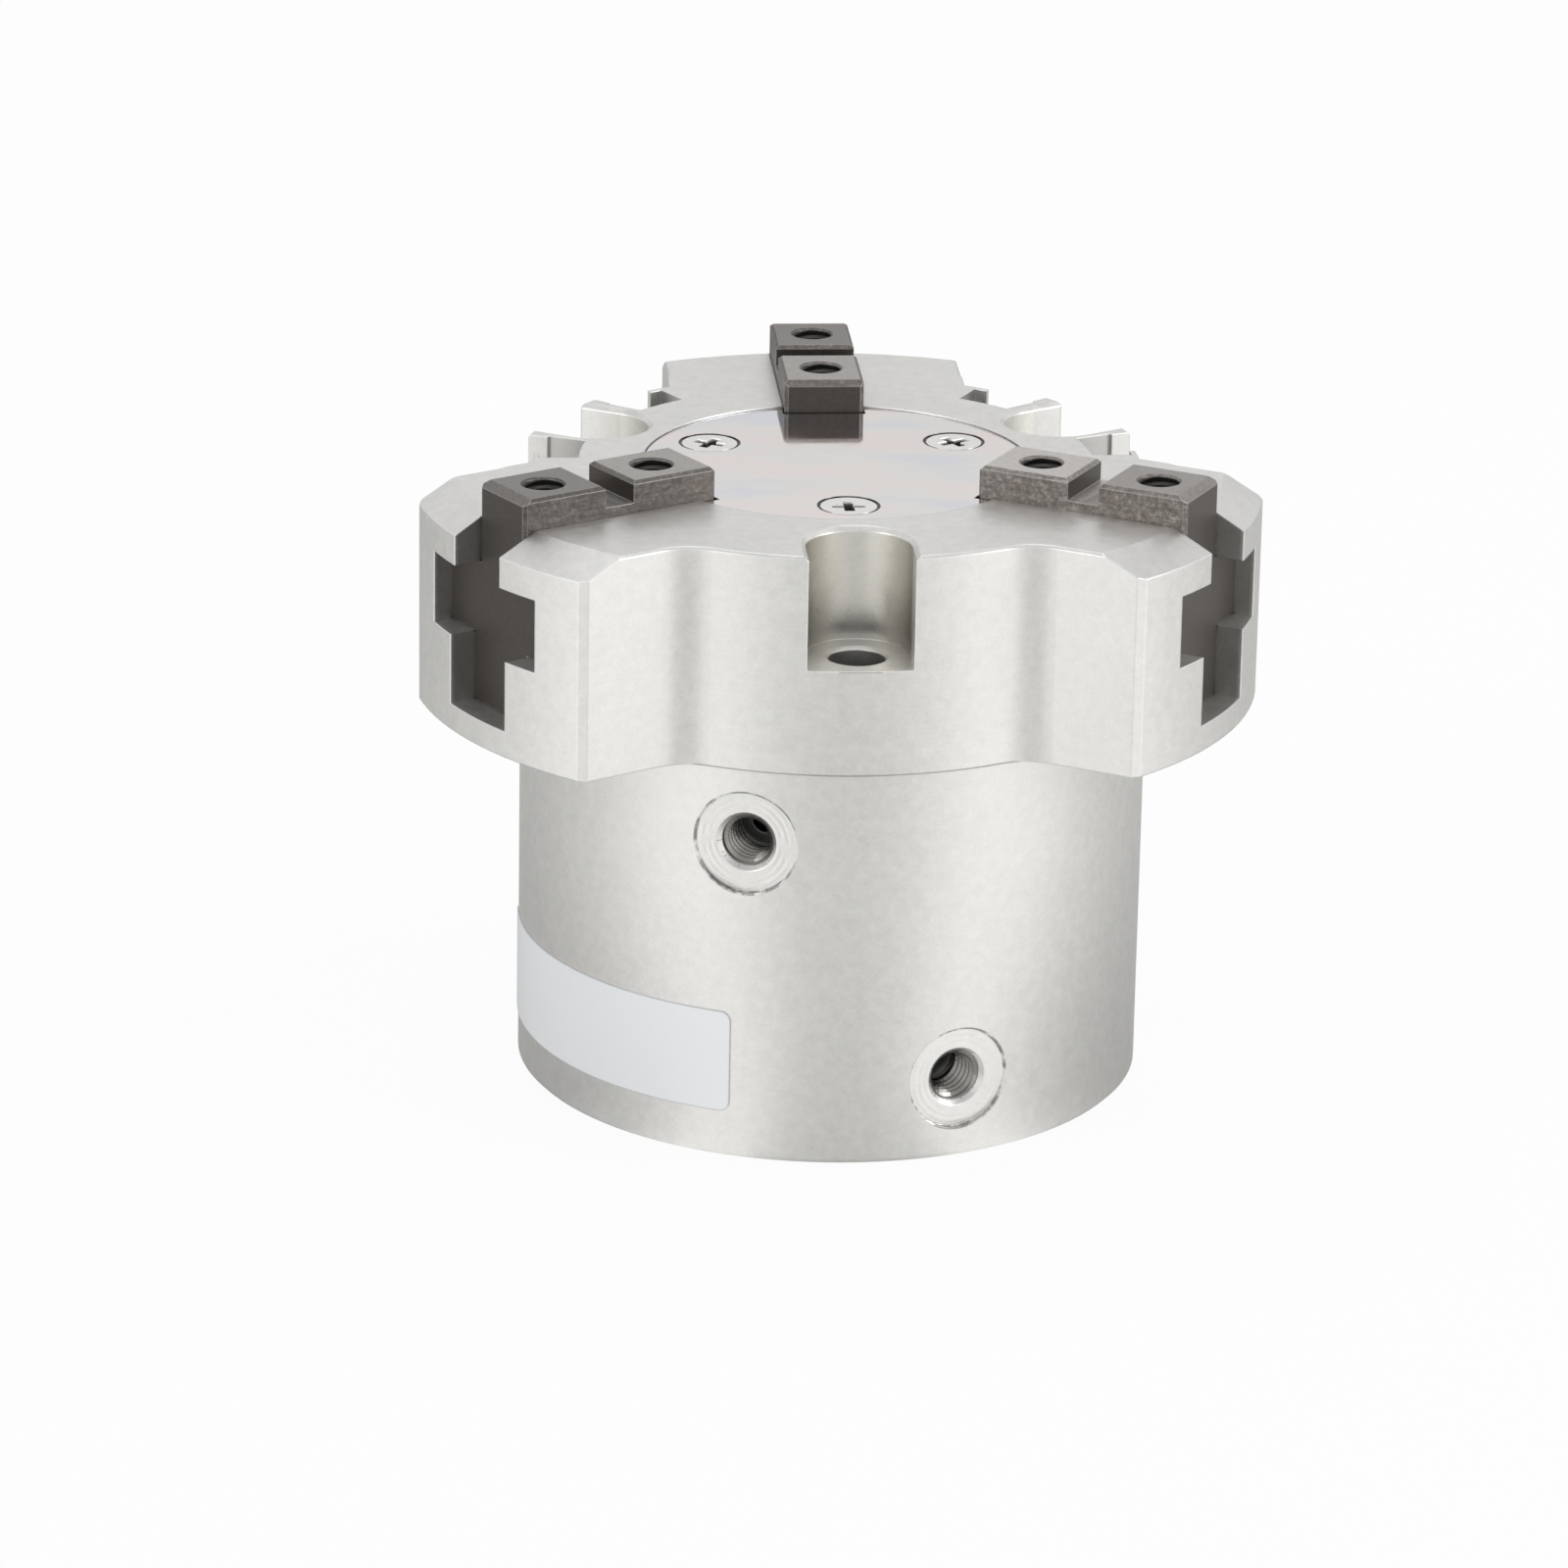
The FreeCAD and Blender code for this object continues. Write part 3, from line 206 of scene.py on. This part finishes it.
def anodised_body():
    """Blasted and clear anodised aluminium, with milled marks on the head and bright machined pockets;
    painted highlights on the edges and on the pockets' right halves, painted shade in holes, spot-face
    corners, grooves, guides, low pocket walls and under the head's step.
    """
    material, tree = new_finish("anodised_body")
    place = tree.place()
    x, y, z = tree.split(place)
    grain = tree.noise(place, 3400.0, 3.0, 0.75)
    speckle = tree.noise(place, 900.0, 2.0, 0.6)
    cloud = tree.noise(place, 60.0, 3.0)
    milled = tree.noise(tree.stretched(place, (90.0, 90.0, 5200.0)), 1.0, 3.0, 0.6)
    head = z.band(HEAD_BOTTOM - 0.2 * MM, HEAD_BOTTOM + 0.2 * MM)
    up = tree.split(tree.add("ShaderNodeNewGeometry", output="Normal"))[2].magnitude().band(0.3, 0.9)

    pocket = None
    hole_shade = None
    for azimuth in LOBE_AZIMUTHS:
        centre = outward(azimuth) * BOLT_RADIUS
        above_floor = z.band(POCKET_FLOOR - 0.2 * MM, POCKET_FLOOR - 0.05 * MM)
        below_floor = 1.0 - z.band(POCKET_FLOOR - 0.3 * MM, POCKET_FLOOR - 0.15 * MM)
        wall = tree.bored(place, centre, UP, 5.2 * MM) * above_floor
        hole = tree.bored(place, centre, UP, 2.76 * MM) * below_floor
        pocket = wall if pocket is None else pocket + wall
        hole_shade = hole * 0.5 if hole_shade is None else hole_shade + hole * 0.5

    faced = None
    rings = None
    spot_corner_shade = None
    for azimuth, height in PORTS.values():
        axis = outward(azimuth)
        across = x * -axis.y + y * axis.x
        along = x * axis.x + y * axis.y
        reach = (across ** 2.0 + (z - height * MM) ** 2.0).root()
        near = (1.0 - reach.band(5.2 * MM, 5.3 * MM)) * along.band(20.0 * MM, 21.0 * MM)
        corner = reach.band(4.90 * MM, 5.0 * MM) * near
        faced = near if faced is None else faced + near
        rings = reach * near if rings is None else rings + reach * near
        spot_corner_shade = corner if spot_corner_shade is None else spot_corner_shade + corner
        bore = tree.bored(place, UP * (height * MM), axis, PORT_THREAD + 0.05 * MM)
        hole_shade = hole_shade + bore * along.band(0.0, 1.0 * MM)
    # Bolt holes and port bores: mask of painted shade, their walls painted dark
    hole_shade = (hole_shade * (1.0 - up)).clamped()
    pocket = (pocket * (1.0 - up)).clamped()
    faced = (faced - hole_shade).clamped()

    # Sensor grooves beside the rear lobes, and the walls of the jaws' guides, masked for painted shade
    turn = tree.add("ShaderNodeMath", {"operation": "ARCTAN2"}, {0: y, 1: x.magnitude()})
    aside = (turn - math.radians(30.0)).magnitude()
    radius = (x ** 2.0 + y ** 2.0).root()
    groove_shade = aside.band(math.radians(11.5), math.radians(12.5)) * (1.0 - aside.band(0.50, 0.52))
    groove_shade = groove_shade * radius.band(24.9 * MM, 25.2 * MM) * (1.0 - radius.band(29.2 * MM, 29.4 * MM)) * (1.0 - up)
    guide_shade = None
    for azimuth in JAW_AZIMUTHS.values():
        axis = outward(azimuth)
        across = (x * -axis.y + y * axis.x).magnitude()
        along = (x * axis.x + y * axis.y).band(16.0 * MM, 17.0 * MM)
        slot = (1.0 - across.band(GUIDE_HALF - 0.1 * MM, GUIDE_HALF)) * along
        guide_shade = slot if guide_shade is None else guide_shade + slot
    guide_shade = guide_shade * (1.0 - up) * z.band(42.0 * MM, 42.5 * MM) * (1.0 - z.band(61.2 * MM, 61.5 * MM))
    guide_shade = (guide_shade * (1.0 - radius.band(41.3 * MM, 41.6 * MM))).clamped()

    # Edge mask: the edges' colour is painted lighter below, a painted highlight
    rounded, edge = tree.edges(0.22 * MM)
    tone = 0.86 + 0.18 * grain + 0.17 * (speckle - 0.5) + 0.05 * (cloud - 0.5) + head * 0.05 * (milled - 0.5)
    broken = tree.noise(place, 330.0, 3.0, 0.7).band(0.44, 0.58)
    # Dark broken line in the spot faces' outer corners: painted shade
    line = (spot_corner_shade * (0.15 + 0.85 * broken)).clamped()
    # Thin dark line under the head's overhanging step: painted shadow
    step_shadow = z.band(HEAD_BOTTOM - 0.15 * MM, HEAD_BOTTOM - 0.05 * MM)
    step_shadow = step_shadow * (1.0 - z.band(HEAD_BOTTOM + 0.10 * MM, HEAD_BOTTOM + 0.22 * MM))
    step_shadow = step_shadow * radius.band(30.5 * MM, 30.9 * MM) * (1.0 - radius.band(31.5 * MM, 31.8 * MM))
    # Pocket walls painted darker towards the pocket floor: painted shade
    low = pocket * (1.0 - z.band(POCKET_FLOOR + 0.3 * MM, POCKET_FLOOR + 4.0 * MM))
    # Painted highlight on the edges; painted shade in the holes and in the spot faces' outer corners
    tone = (tone * (1.0 - 0.13 * pocket) + 0.28 * edge) * (1.0 - 0.72 * hole_shade) * (1.0 - 0.62 * line)
    # Grooves, guide walls, low pocket walls and the step under the head painted darker: painted shade
    tone = tone * (1.0 - 0.28 * groove_shade) * (1.0 - 0.30 * guide_shade) * (1.0 - 0.32 * low) * (1.0 - 0.38 * step_shadow)
    # Pockets painted lighter on their right halves: painted light
    tone = tone * (1.0 + 0.16 * pocket * x.band(0.0, 3.5 * MM))
    shade = tree.add("ShaderNodeCombineColor", None, {0: tone * 0.84, 1: tone * 0.832, 2: tone * 0.812})
    warm = tree.add("ShaderNodeCombineColor", None, {0: tone * 0.86, 1: tone * 0.842, 2: tone * 0.79})
    colour = tree.mix(pocket, shade, warm)
    rough = 0.42 + 0.12 * (grain - 0.5) + 0.10 * (speckle - 0.5) - 0.12 * pocket - 0.08 * faced - 0.12 * edge
    turned = (rings * (2.0 * math.pi / (0.62 * MM))).sine() * faced
    height = grain * (1.0 - 0.6 * pocket) + 0.8 * speckle + head * 0.5 * milled + 1.0 * turned * broken
    normal = tree.bump(height, 0.018 * MM, 0.6, rounded)
    tree.finish(Base_Color=colour, Metallic=1.0, Roughness=rough, Normal=normal)
    return material


def jaw_steel():
    """Hardened dark steel: ground tops, streaked sides and smooth darker ends, with painted shade in the
    tapped holes and on the left jaw's sides, painted light on the right jaw, a painted reflection on the
    inner tops and painted highlights on the edges.
    """
    material, tree = new_finish("jaw_steel")
    place = tree.place()
    x, y, z = tree.split(place)
    normal_x, normal_y, normal_z = tree.split(tree.add("ShaderNodeNewGeometry", output="Normal"))
    up = normal_z.band(0.6, 0.95)
    turn = tree.add("ShaderNodeMath", {"operation": "ARCTAN2"}, {0: normal_y, 1: normal_x})
    across_jaw = (turn * 6.0).cosine()
    end = (0.0 - across_jaw).band(0.2, 0.8) * (1.0 - normal_z.magnitude().band(0.3, 0.6))
    inner_block = 1.0 - (x ** 2.0 + y ** 2.0).root().band(27.7 * MM, 28.3 * MM)
    hole = None
    for azimuth in JAW_AZIMUTHS.values():
        for reach in JAW_HOLES.values():
            hole_shade = tree.bored(place, outward(azimuth) * reach, UP, JAW_THREAD + 0.2 * MM)
            hole = hole_shade if hole is None else hole + hole_shade
    hole = (hole * (1.0 - z.band(JAW_TOP - 0.5 * MM, JAW_TOP - 0.1 * MM))).clamped()
    streak = tree.noise(tree.stretched(place, (210.0, 210.0, 2900.0)), 1.0, 5.0, 0.8)
    grain = tree.noise(place, 2100.0, 4.0, 0.75)
    speck = streak * 0.40 + grain * 0.60
    rounded, edge = tree.edges(0.14 * MM)
    side = tree.add("ShaderNodeValToRGB", {"stops": (
        (0.36, (0.070, 0.062, 0.056)),
        (0.52, (0.150, 0.135, 0.125)),
        (0.66, (0.30, 0.285, 0.270)))}, {0: speck})
    outer_top = tree.add("ShaderNodeValToRGB", {"stops": (
        (0.30, (0.215, 0.200, 0.192)), (0.70, (0.29, 0.275, 0.262)))}, {0: grain})
    # Inner blocks' tops painted lighter than the outer tops: a painted reflection
    inner_top_painted_reflection = tree.add("ShaderNodeValToRGB", {"stops": (
        (0.30, (0.36, 0.340, 0.325)), (0.70, (0.47, 0.450, 0.435)))}, {0: grain})
    end_tone = tree.add("ShaderNodeValToRGB", {"stops": (
        (0.30, (0.080, 0.070, 0.064)), (0.70, (0.105, 0.094, 0.086)))}, {0: grain})
    # Left jaw's sides painted darker: painted shade
    left_jaw_painted_shade = (1.0 - x.band(-3.0 * MM, 3.0 * MM)) * (1.0 - y.band(-1.0 * MM, 3.0 * MM))
    side = tree.mix(left_jaw_painted_shade * 0.35, side, grey(0.055, 0.05))
    colour = tree.mix(end, side, end_tone)
    colour = tree.mix(up, colour, tree.mix(inner_block, outer_top, inner_top_painted_reflection))
    # Right jaw painted lighter all over: painted light
    right_jaw = x.band(0.0, 3.0 * MM) * (1.0 - y.band(-1.0 * MM, 3.0 * MM))
    right_jaw_painted_light = {0: colour, "Scale": 1.0 + 0.42 * right_jaw}
    colour = tree.add("ShaderNodeVectorMath", {"operation": "SCALE"}, right_jaw_painted_light)
    # Edges painted pale grey: a painted highlight
    colour = tree.mix(edge * 0.8, colour, grey(0.58, 0.02))
    # Tapped holes painted near black: painted shade
    colour = tree.mix(hole, colour, grey(0.035, 0.03))
    marks = speck * (1.0 - up) * (1.0 - 0.8 * end) + grain * 0.35
    normal = tree.bump(marks, 0.02 * MM, 0.7, rounded)
    tree.finish(Base_Color=colour, Metallic=0.85, Roughness=0.42 + 0.2 * (grain - 0.5), Normal=normal)
    return material


def cover_steel():
    """Polished cover with a thin cloudy film."""
    material, tree = new_finish("cover_steel")
    place = tree.place()
    cloud = tree.noise(place, 110.0, 4.0, 0.6)
    smear = tree.noise(tree.stretched(place, (1.0, 2.4, 1.0)), 75.0, 2.0)
    fine = tree.noise(place, 1500.0, 2.0)
    rounded = tree.add("ShaderNodeBevel", {"samples": 6}, {"Radius": 0.1 * MM})
    tint = tree.add("ShaderNodeValToRGB", {"stops": (
        (0.30, (0.74, 0.745, 0.80)), (0.48, (0.81, 0.79, 0.77)), (0.66, (0.85, 0.76, 0.75)))}, {0: smear})
    ring = None
    for azimuth in LOBE_AZIMUTHS:
        gap = tree.bored(place, outward(azimuth) * SCREW_RADIUS, UP, 3.07 * MM)
        ring = gap if ring is None else ring + gap
    # Gaps round the screw heads painted near black: painted shade
    tint = tree.mix((ring * (0.55 + 0.6 * fine)).clamped(), tint, grey(0.06))
    rough = 0.05 + 0.10 * cloud.band(0.42, 0.80) + 0.02 * fine
    tree.finish(Base_Color=tint, Metallic=1.0, Roughness=rough,
                Normal=tree.bump(fine, 0.002 * MM, 0.4, rounded))
    return material


def screw_steel():
    """Bright plated screw, its cross recess painted dark as painted shade and its edges painted lighter as a
    painted highlight.
    """
    material, tree = new_finish("screw_steel")
    place = tree.place()
    marks = tree.noise(place, 1400.0, 3.0)
    rounded, edge = tree.edges(0.1 * MM)
    # Cross recess painted dark: painted shade
    recess = 1.0 - tree.split(place)[2].band(COVER_TOP - 0.45 * MM, COVER_TOP - 0.1 * MM)
    # Edges painted lighter: a painted highlight
    tone = (0.9 + 0.2 * marks + 0.15 * edge) * (1.0 - 0.82 * recess)
    shade = tree.add("ShaderNodeCombineColor", None, {0: tone * 0.86, 1: tone * 0.85, 2: tone * 0.83})
    tree.finish(Base_Color=shade, Metallic=1.0, Roughness=0.16 + 0.15 * (marks - 0.5),
                Normal=tree.bump(marks, 0.006 * MM, 0.5, rounded))
    return material


def plain_metal(name, colour, rough, metallic=1.0, lines=None, edge_width=0.1 * MM):
    """Small turned or plated metal piece with fine marks."""
    material, tree = new_finish(name)
    place = tree.place()
    marks = tree.noise(tree.stretched(place, lines or (1.0, 1.0, 1.0)), 1400.0, 3.0)
    rounded, edge = tree.edges(edge_width)
    # Edges painted lighter: a painted highlight
    tone = 0.9 + 0.2 * marks + 0.15 * edge
    shade = tree.add("ShaderNodeCombineColor", None, {index: tone * colour[index] for index in range(3)})
    tree.finish(Base_Color=shade, Metallic=metallic, Roughness=rough + 0.15 * (marks - 0.5),
                Normal=tree.bump(marks, 0.006 * MM, 0.5, rounded))
    return material


def rubber(name, level):
    material, tree = new_finish(name)
    place = tree.place()
    grain = tree.noise(place, 1600.0, 3.0)
    tone = level * (0.8 + 0.4 * grain)
    shade = tree.add("ShaderNodeCombineColor", None, {0: tone, 1: tone, 2: tone})
    tree.finish(Base_Color=shade, Roughness=0.55 + 0.2 * (grain - 0.5),
                Normal=tree.bump(grain, 0.01 * MM, 0.5))
    return material


def label_foil():
    """Blank satin foil with a greyer cut edge."""
    material, tree = new_finish("label_foil")
    place = tree.place()
    grain = tree.noise(place, 900.0, 3.0)
    cloud = tree.noise(place, 120.0, 2.0)
    rounded, edge = tree.edges(0.25 * MM)
    colour = tree.mix(edge * 0.6, (0.87, 0.89, 0.915, 1.0), (0.60, 0.61, 0.63, 1.0))
    colour = tree.mix(0.10 * cloud, colour, (0.90, 0.91, 0.93, 1.0))
    tree.finish(Base_Color=colour, Metallic=0.15, Roughness=0.38 + 0.1 * (grain - 0.5), Coat_Weight=0.2,
                Normal=tree.bump(grain, 0.004 * MM, 0.4, rounded))
    return material


FINISHES = {
    "anodised_body": anodised_body(),
    "jaw_steel": jaw_steel(),
    "cover_steel": cover_steel(),
    "label_foil": label_foil(),
    "screw_steel": screw_steel(),
    "end_cap": plain_metal("end_cap", (0.74, 0.735, 0.72), 0.34),
    "piston_aluminium": plain_metal("piston_aluminium", (0.72, 0.715, 0.70), 0.32, lines=(0.1, 0.1, 2.0)),
    "bush_bronze": plain_metal("bush_bronze", (0.58, 0.42, 0.22), 0.35),
    "spring_steel": plain_metal("spring_steel", (0.13, 0.12, 0.115), 0.40),
    "black_steel": plain_metal("black_steel", (0.05, 0.05, 0.05), 0.38, 0.7),
    "hardened_steel": plain_metal("hardened_steel", (0.36, 0.345, 0.33), 0.30, lines=(1.0, 1.0, 0.2)),
    "magnet": plain_metal("magnet", (0.09, 0.085, 0.08), 0.55, 0.3),
    # Thread ridges given darker finishes than their parts: painted shade inside the holes
    "jaw_thread": plain_metal("jaw_thread", (0.060, 0.056, 0.053), 0.35, 0.85),
    "port_thread": plain_metal("port_thread", (0.34, 0.33, 0.31), 0.24),
    "seal_rubber": rubber("seal_rubber", 0.025),
    "bumper_rubber": rubber("bumper_rubber", 0.05),
}
slots = {part["node"]: part["material_slot"] for part in frame["record"]["subparts"]}
for node_name, node in frame["nodes"].items():
    node.data.materials.clear()
    node.data.materials.append(FINISHES[slots[node_name]])


# Screw threads

STEPS_PER_TURN = 32
CREST = ((0.44, 0.0), (0.06, 0.5), (-0.06, 0.5), (-0.44, 0.0))


def helix_ridge(name, body, finish, mouth, axis, radius, mouth_radius, pitch, length):
    """Ridge of an internal thread, winding down from the hole's mouth and cut back there by its chamfer."""
    side = axis.cross(UP if abs(axis.z) < 0.9 else Vector((1.0, 0.0, 0.0))).normalized()
    third = axis.cross(side)
    steps = int(STEPS_PER_TURN * (length - pitch) / pitch)
    points = []
    for step in range(steps + 1):
        turn = 2.0 * math.pi * step / STEPS_PER_TURN
        radial = side * math.cos(turn) + third * math.sin(turn)
        fade = min(1.0, step / 10.0, (steps - step) / 10.0)
        for offset, rise in CREST:
            depth = pitch * (0.5 + step / STEPS_PER_TURN - offset)
            tip = max(radius - rise * pitch * fade, mouth_radius - depth) + 0.01 * MM
            points.append(mouth - axis * depth + radial * tip)
    faces = [(3, 2, 1, 0), tuple(len(points) - 4 + index for index in range(4))]
    for step in range(steps):
        for corner in range(4):
            after = (corner + 1) % 4
            first = 4 * step
            faces.append((first + corner, first + after, first + 4 + after, first + 4 + corner))
    mesh = bpy.data.meshes.new(name)
    mesh.from_pydata(points, [], faces)
    mesh.update()
    ridge = bpy.data.objects.new(name, mesh)
    bpy.context.collection.objects.link(ridge)
    mesh.materials.append(FINISHES[finish])
    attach(ridge, body)
    return ridge


for jaw_name, azimuth in JAW_AZIMUTHS.items():
    for hole_name, reach in JAW_HOLES.items():
        jaw_mouth = outward(azimuth) * reach + UP * JAW_TOP
        helix_ridge(jaw_name + "_" + hole_name + "_thread", jaw_name, "jaw_thread",
                    jaw_mouth, UP, JAW_THREAD, JAW_THREAD + 0.22 * MM, 0.7 * MM, 7.6 * MM)
for port_name, (azimuth, height) in PORTS.items():
    port_mouth = outward(azimuth) * PORT_FLOOR + UP * (height * MM)
    helix_ridge(port_name + "_thread", "housing", "port_thread",
                port_mouth, outward(azimuth), PORT_THREAD, PORT_THREAD + 0.5 * MM, 0.8 * MM, 6.0 * MM)


# Studio: white surroundings, brightest at both sides of the camera, a pale floor and soft lamps
SURROUND = ((180.0, 0.43), (130.0, 0.48), (110.0, 0.62), (90.0, 0.77), (75.0, 1.05),
            (62.0, 1.32), (42.0, 1.28), (28.0, 0.88), (15.0, 0.72), (0.0, 0.68))
FLOOR_SHARE = 0.8


def frontward(x, y):
    """Cosine of the angle from the front, the side where the ports are."""
    return (0.0 - y) / (x ** 2.0 + y ** 2.0 + 1e-9).root()


def surround(tree, towards_front):
    """Brightness of the studio round the object: dim behind, brightest at both sides of the front."""
    stops = [(0.5 + 0.5 * math.cos(math.radians(angle)), (level, level, level * 0.985))
             for angle, level in SURROUND]
    return tree.add("ShaderNodeValToRGB", {"stops": stops}, {0: towards_front * 0.5 + 0.5})


def studio_world():
    world = bpy.data.worlds.new("studio")
    bpy.context.scene.world = world
    tree = Tree(world)
    x, y, z = tree.split(tree.add("ShaderNodeTexCoord", output="Generated"))
    upper = tree.mix(z.band(0.36, 0.66), grey(0.96), grey(0.60))
    level = tree.mix(z.band(0.10, 0.40), surround(tree, frontward(x, y)), upper)
    seen = tree.add("ShaderNodeLightPath", output="Is Camera Ray")
    light = tree.add("ShaderNodeBackground", None, {"Color": level, "Strength": 1.0})
    white = tree.add("ShaderNodeBackground", None, {"Color": (1.0, 1.0, 1.0, 1.0), "Strength": 1.0})
    surface = tree.add("ShaderNodeMixShader", None, {0: seen, 1: light, 2: white})
    tree.add("ShaderNodeOutputWorld", None, {"Surface": surface})


def studio_floor():
    mesh = bpy.data.meshes.new("floor")
    reach = 1.6
    mesh.from_pydata([(-reach, -reach, 0), (reach, -reach, 0), (reach, reach, 0), (-reach, reach, 0)],
                     [], [(0, 1, 2, 3)])
    floor = bpy.data.objects.new("floor", mesh)
    floor.location.z = -0.02 * MM
    bpy.context.collection.objects.link(floor)
    material, tree = new_finish("floor_paper")
    x, y, z = tree.split(tree.place())
    seen = tree.add("ShaderNodeLightPath", output="Is Camera Ray")
    mirrored = tree.add("ShaderNodeLightPath", output="Is Glossy Ray")
    through = tree.add("ShaderNodeLightPath", output="Is Transmission Ray")
    paper = tree.add("ShaderNodeBsdfDiffuse", None, {"Color": grey(0.82)})
    # For glossy rays the floor glows with the studio's bright and dim pattern: painted light on the floor
    # Close to the object, the paper is seen mirrored at twice its own angle from the front
    front = frontward(x, y)
    nearby = 1.0 - (x ** 2.0 + y ** 2.0).root().band(32.0 * MM, 110.0 * MM)
    front = front + nearby * (front * front.magnitude() * 2.0 - 1.0 - front)
    # Floor's glow dimmed close to the object: a painted shadow
    glow_with_painted_shadow = tree.mix(nearby * 0.16, surround(tree, front), grey(0.0))
    level = tree.mix(seen, glow_with_painted_shadow, grey(1.0))
    white = tree.add("ShaderNodeEmission", None, {"Color": level, "Strength": 1.0})
    share = (seen * 0.93 + mirrored * FLOOR_SHARE + through * 0.93).clamped()
    surface = tree.add("ShaderNodeMixShader", None, {0: share, 1: paper, 2: white})
    tree.add("ShaderNodeOutputMaterial", None, {"Surface": surface})
    mesh.materials.append(material)


def lamp(name, place, power, size):
    data = bpy.data.lights.new(name, "AREA")
    data.shape = "DISK"
    data.size = size
    data.energy = power
    light = bpy.data.objects.new(name, data)
    light.location = place
    light.rotation_euler = (Vector((0.0, 0.0, 0.04)) - Vector(place)).to_track_quat("-Z", "Y").to_euler()
    bpy.context.collection.objects.link(light)


studio_world()
studio_floor()
lamp("left_lamp", (-0.75, -0.35, 0.55), 1.1, 0.5)
lamp("right_lamp", (0.80, -0.25, 0.45), 2.2, 0.5)
lamp("top_lamp", (0.0, 0.25, 0.95), 1.4, 0.7)


# Camera at the photograph's place, fitted from the outline of the object
CAMERA_PLACE = (-0.05879, -0.69285, 0.27479)
FORWARD = Vector((0.07339, 0.93956, -0.33443))
RIGHT = Vector((0.99696, -0.07787, 0.0))
ROLL = math.radians(-1.042)
down = FORWARD.cross(RIGHT)
image_right = RIGHT * math.cos(ROLL) + down * math.sin(ROLL)
image_down = down * math.cos(ROLL) - RIGHT * math.sin(ROLL)
camera_data = bpy.data.cameras.new("camera")
camera_data.lens = 170.02
camera_data.sensor_width = 36.0
camera = bpy.data.objects.new("camera", camera_data)
turned = Matrix((image_right, -image_down, -FORWARD)).transposed().to_4x4()
camera.matrix_world = Matrix.Translation(CAMERA_PLACE) @ turned
bpy.context.collection.objects.link(camera)
bpy.context.scene.camera = camera
bpy.context.scene.view_settings.view_transform = "Standard"
